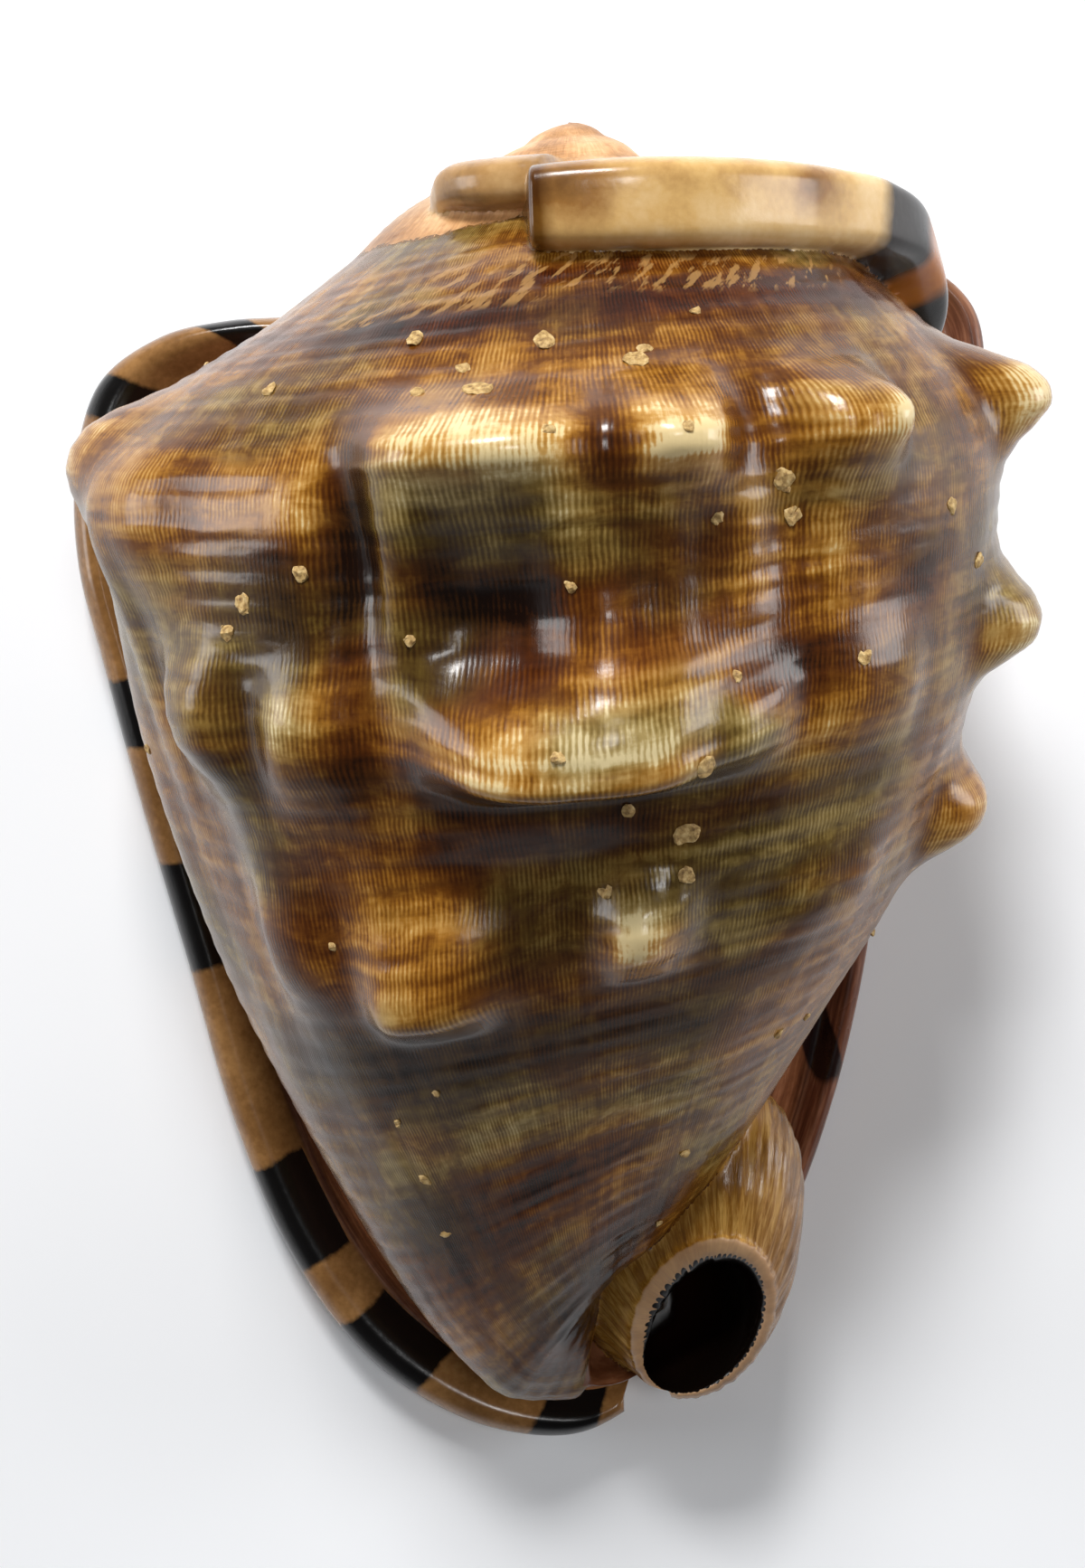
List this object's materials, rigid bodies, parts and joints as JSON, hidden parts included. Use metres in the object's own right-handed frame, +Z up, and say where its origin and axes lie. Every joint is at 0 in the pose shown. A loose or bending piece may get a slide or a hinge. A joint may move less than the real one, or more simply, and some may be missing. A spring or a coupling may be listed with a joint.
{
  "type": "helmet shell",
  "caption": "Large knobbed sea shell resting on its mouth, with a thick toothed lip, a broad flat shield, a low spire and an upturned canal.",
  "frame": {"origin": "centre of the footprint box, on the ground under the shell", "axes": "+Z up from the ground through the knobbed back, +Y towards the spire, -Y towards the canal, -X towards the thick outer lip"},
  "size_m": [0.1592, 0.2127, 0.1124],
  "materials": {
    "shell": "glossy, mottled chocolate brown, gold and olive"
  },
  "bodies": {
    "root": {"shell": "shell"}
  },
  "joints": []
}
